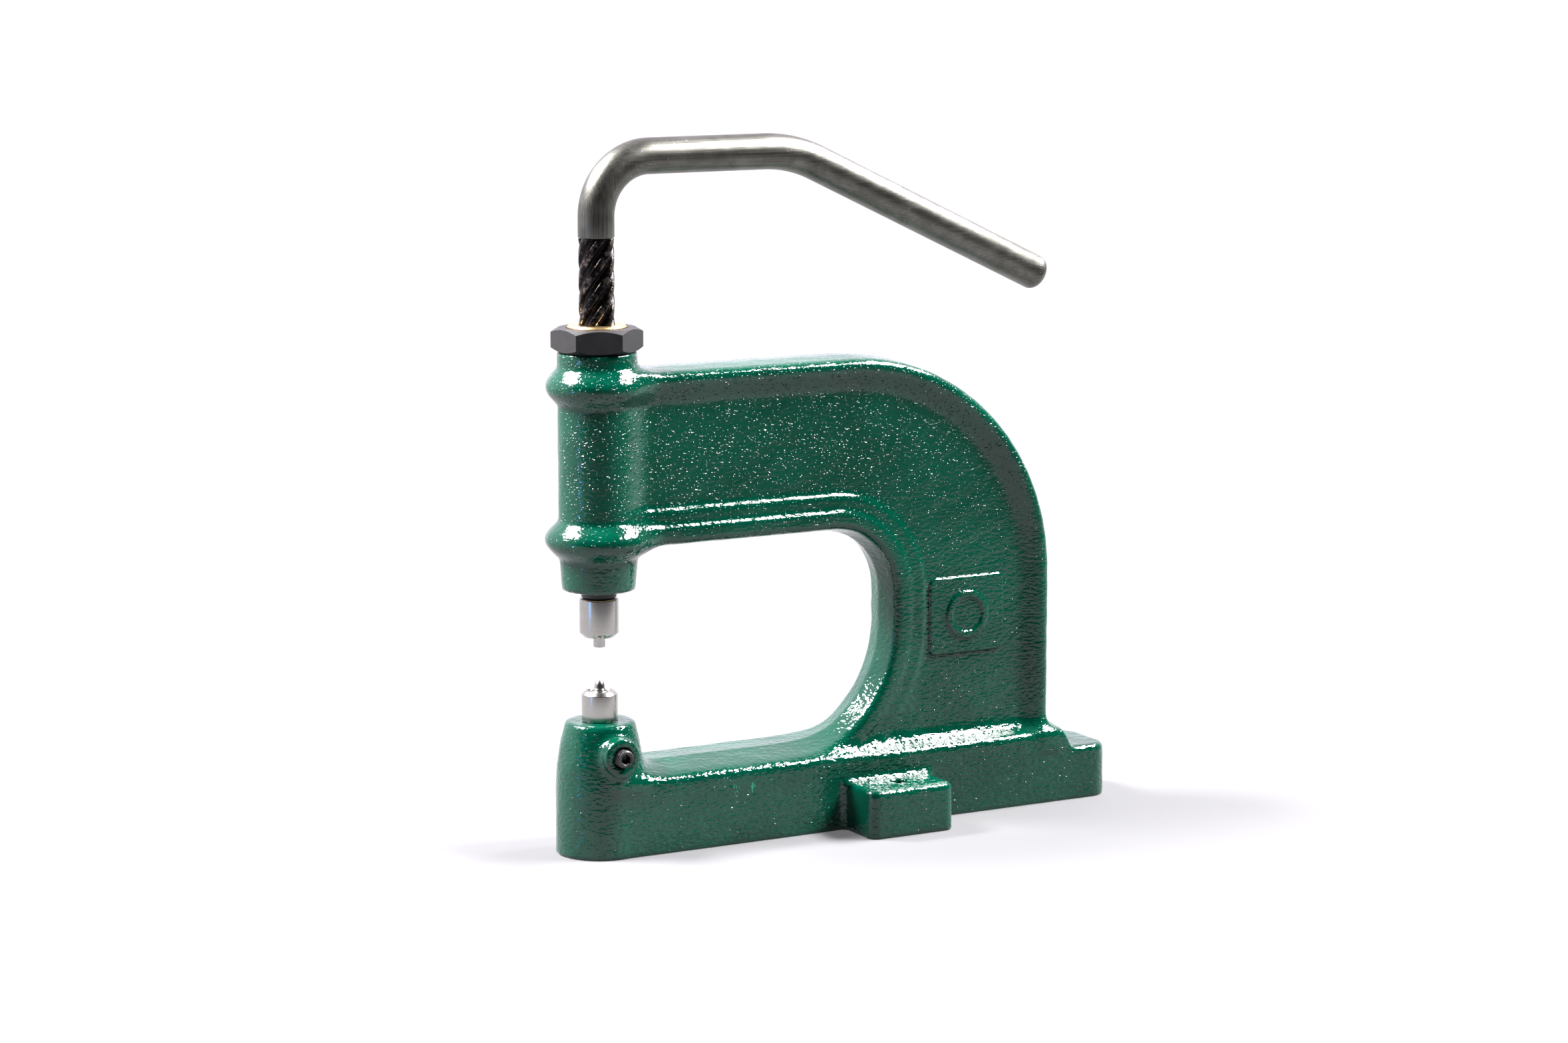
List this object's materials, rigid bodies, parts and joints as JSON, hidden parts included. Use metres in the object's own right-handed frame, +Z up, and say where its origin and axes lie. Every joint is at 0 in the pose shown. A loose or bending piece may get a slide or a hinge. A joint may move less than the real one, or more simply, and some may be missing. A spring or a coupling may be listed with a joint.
{
  "type": "bench screw press",
  "caption": "Hand-operated bench screw press: cast C-frame, steep multi-start spindle with a bent bar handle, sprung ram, and a pair of eyelet-setting dies.",
  "frame": {"origin": "on the bench plane, under the spindle's axis, on the base's underside", "axes": "+Z up along the spindle; +X from the spindle to the back of the frame; -Y the side with the die's set screw"},
  "size_m": [0.2821, 0.087, 0.3151],
  "materials": {
    "green_enamel": "gloss green enamel over a rough sand-cast iron surface",
    "black_oxide": "black oxide, slightly grainy, semi-matt",
    "oiled_black": "blackened steel screw, oiled and glossy",
    "dark_bar_steel": "drawn bar, dark grey satin",
    "bright_steel": "turned and ground steel with fine circular marks",
    "bronze": "turned bronze, bright",
    "spring_steel": "drawn spring steel"
  },
  "bodies": {
    "frame": {"frame_casting": "green_enamel", "spindle_nut": "bronze", "hex_lock_nut": "black_oxide", "guide_bush": "bronze", "return_spring": "spring_steel", "ram_key_screw": "black_oxide", "key_screw_lock_nut": "black_oxide", "lower_die": "bright_steel", "pilot_spring": "spring_steel", "pilot_plug": "black_oxide", "die_set_screw": "black_oxide"},
    "ram": {"ram": "black_oxide", "thrust_ball": "bright_steel", "retaining_pin_front": "spring_steel", "retaining_pin_rear": "spring_steel", "upper_die": "bright_steel"},
    "spindle": {"spindle_screw": "oiled_black", "handle_bar": "dark_bar_steel"},
    "pilot": {"lower_die_pilot": "bright_steel"}
  },
  "joints": [
    {"name": "ram_slide", "type": "slide", "parent": "frame", "child": "ram", "axis": [0, 0, -1], "range_m": [0, 0.02325], "stiffness_N_per_m": 900, "springref_m": -0.02, "deforming": ["return_spring"]},
    {"name": "spindle_turn", "type": "hinge", "parent": "ram", "child": "spindle", "pos_m": [0, 0, 0.2232], "axis": [0, 0, -1], "range_deg": [0, 135]},
    {"name": "pilot_slide", "type": "slide", "parent": "frame", "child": "pilot", "axis": [0, 0, -1], "range_m": [0, 0.0083], "stiffness_N_per_m": 300, "springref_m": -0.004, "deforming": ["pilot_spring"]}
  ],
  "couplings": [
    {"joint": "ram_slide", "follows": "spindle_turn", "m_per_rad": 0.0098676},
    {"joint": "pilot_slide", "follows": "spindle_turn", "m_per_rad": 0.0034957}
  ]
}
